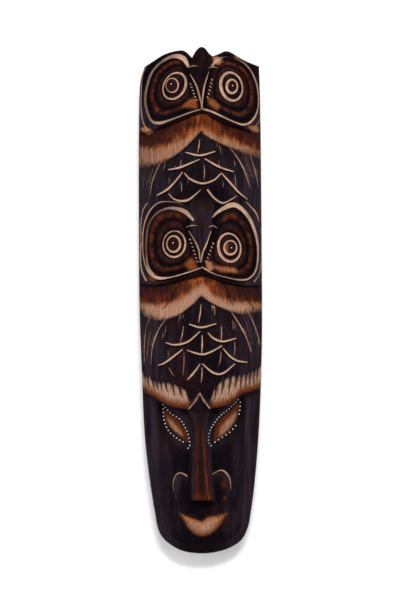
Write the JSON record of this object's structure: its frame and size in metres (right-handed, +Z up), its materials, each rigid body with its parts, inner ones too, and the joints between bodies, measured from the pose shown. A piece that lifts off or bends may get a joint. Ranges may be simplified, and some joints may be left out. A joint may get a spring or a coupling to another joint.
{
  "type": "wooden wall mask",
  "caption": "Tall carved wooden wall mask with owls stacked above a long-nosed face, made from a hollowed log half to hang upright on a wall.",
  "frame": {"origin": "the place on the flat back that rests on the wall, on the centre line just under the nail hole", "axes": "+Z up along the mask, +Y out of the back toward the wall, the carving looks toward -Y, +X to the viewer's right"},
  "size_m": [0.1223, 0.0417, 0.5001],
  "materials": {
    "stained_wood": "dark brown stain with a soft wax sheen"
  },
  "bodies": {
    "root": {"mask": "stained_wood"}
  },
  "joints": []
}
